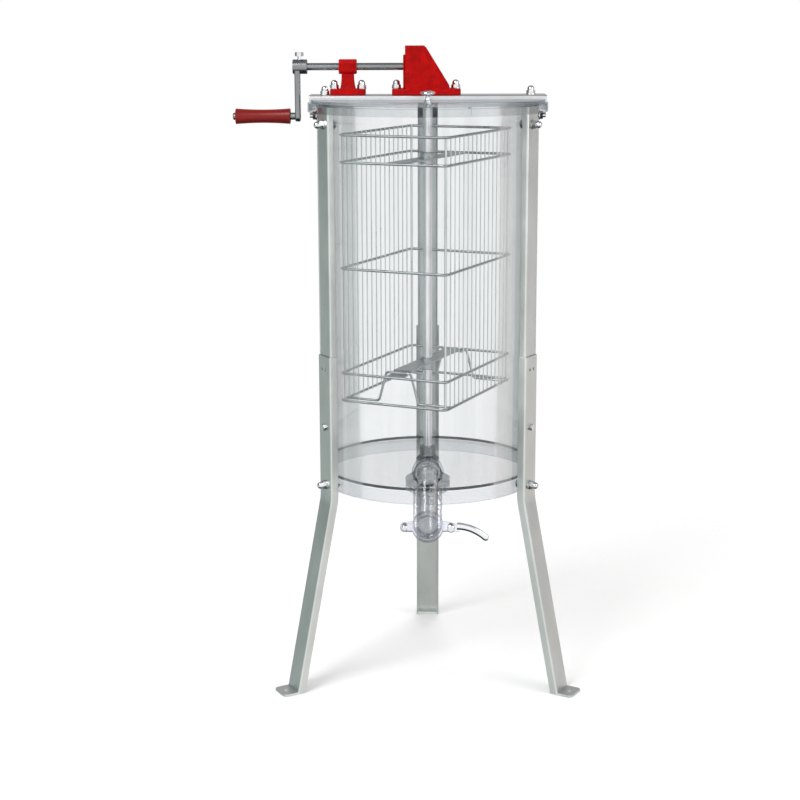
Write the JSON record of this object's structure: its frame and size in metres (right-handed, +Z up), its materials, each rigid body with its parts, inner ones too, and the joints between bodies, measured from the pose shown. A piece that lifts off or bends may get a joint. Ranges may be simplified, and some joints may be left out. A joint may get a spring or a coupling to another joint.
{
  "type": "hand-cranked honey extractor",
  "caption": "Clear-drum honey extractor on three bent legs, with a wire frame basket spun by a bevel gear and hand crank, lift-off lids and a honey gate.",
  "frame": {"origin": "centre of the drum floor plate's underside, on the basket shaft's axis", "axes": "+Z up along the basket shaft, front towards -Y where the honey gate is, +X to the right, the crank is at -X"},
  "size_m": [0.5889, 0.5791, 1.0817],
  "materials": {
    "clear_acrylic": "clear polished acrylic sheet, edges a little darker",
    "leg_steel": "satin stainless sheet, folded, faint cloudy grain",
    "bright_steel": "bright stainless sheet",
    "fastener_steel": "bright stainless nuts and bolts",
    "chrome": "polished chrome",
    "red_casting": "saturated red paint on a casting, semi-gloss",
    "red_grip": "glossy dark red plastic",
    "brass": "plain bearing brass",
    "machined_steel": "machined stainless, satin",
    "wire_steel": "drawn stainless wire, electropolished grey",
    "rubber": "pale translucent silicone rubber"
  },
  "bodies": {
    "drum": {"beam_bolt_left": "fastener_steel", "beam_bolt_right": "fastener_steel", "beam_bracket_left": "bright_steel", "beam_bracket_right": "bright_steel", "bearing_pedestal": "red_casting", "bracket_bolt_left": "fastener_steel", "bracket_bolt_right": "fastener_steel", "crank_bush_inner": "brass", "crank_bush_outer": "brass", "drum_floor": "clear_acrylic", "drum_shell": "clear_acrylic", "floor_bearing": "machined_steel", "gate_pivot_screw": "fastener_steel", "gear_housing": "red_casting", "housing_bearing_plate": "red_casting", "housing_bolt_left": "fastener_steel", "housing_bolt_right": "fastener_steel", "leg_low_bolt_left": "fastener_steel", "leg_low_bolt_rear": "fastener_steel", "leg_low_bolt_right": "fastener_steel", "leg_middle_bolt_left": "fastener_steel", "leg_middle_bolt_rear": "fastener_steel", "leg_middle_bolt_right": "fastener_steel", "leg_top_bolt_left": "fastener_steel", "leg_top_bolt_rear": "fastener_steel", "leg_top_bolt_right": "fastener_steel", "lower_leg_left": "leg_steel", "lower_leg_rear": "leg_steel", "lower_leg_right": "leg_steel", "outlet_elbow": "clear_acrylic", "outlet_gasket": "rubber", "outlet_nut": "clear_acrylic", "pedestal_bolt_left": "fastener_steel", "pedestal_bolt_right": "fastener_steel", "rim_segment_1": "clear_acrylic", "rim_segment_2": "clear_acrylic", "rim_segment_3": "clear_acrylic", "shaft_top_bush": "brass", "top_beam": "bright_steel", "upper_leg_left": "leg_steel", "upper_leg_rear": "leg_steel", "upper_leg_right": "leg_steel"},
    "basket": {"basket_shaft": "machined_steel", "shaft_pinion": "machined_steel", "basket_cage": "wire_steel", "cross_bar_upper": "machined_steel", "cross_bar_lower": "machined_steel"},
    "crank": {"crank_shaft": "machined_steel", "crank_gear": "machined_steel", "crank_arm": "machined_steel", "crank_set_screw": "fastener_steel", "grip_spindle": "machined_steel"},
    "grip": {"crank_grip": "red_grip"},
    "front_lid": {"lid_front": "clear_acrylic", "lid_knob_front": "chrome"},
    "rear_lid": {"lid_rear": "clear_acrylic", "lid_knob_rear": "chrome"},
    "gate": {"gate_slide": "clear_acrylic", "gate_lever": "chrome"},
    "clamp_screw": {"gate_clamp_screw": "fastener_steel"}
  },
  "joints": [
    {"name": "basket_spin", "type": "hinge", "parent": "drum", "child": "basket", "pos_m": [0, 0, 0.3], "axis": [0, 0, 1], "continuous": true},
    {"name": "crank_turn", "type": "hinge", "parent": "drum", "child": "crank", "pos_m": [-0.1, 0, 0.68], "axis": [1, 0, 0], "continuous": true},
    {"name": "grip_spin", "type": "hinge", "parent": "crank", "child": "grip", "pos_m": [-0.275, 0, 0.599], "axis": [1, 0, 0], "continuous": true},
    {"name": "front_lid_lift", "type": "slide", "parent": "drum", "child": "front_lid", "axis": [0, 0, 1], "range_m": [0, 0.12]},
    {"name": "rear_lid_lift", "type": "slide", "parent": "drum", "child": "rear_lid", "axis": [0, 0, 1], "range_m": [0, 0.12]},
    {"name": "gate_swing", "type": "hinge", "parent": "drum", "child": "gate", "pos_m": [-0.037, -0.277, -0.033], "axis": [0, -1, 0], "range_deg": [0, 75]},
    {"name": "clamp_screw_turn", "type": "hinge", "parent": "drum", "child": "clamp_screw", "pos_m": [0.037, -0.277, -0.033], "axis": [0, -1, 0], "range_deg": [0, 180]}
  ],
  "couplings": [
    {"joint": "crank_turn", "follows": "basket_spin", "ratio": -0.4}
  ]
}
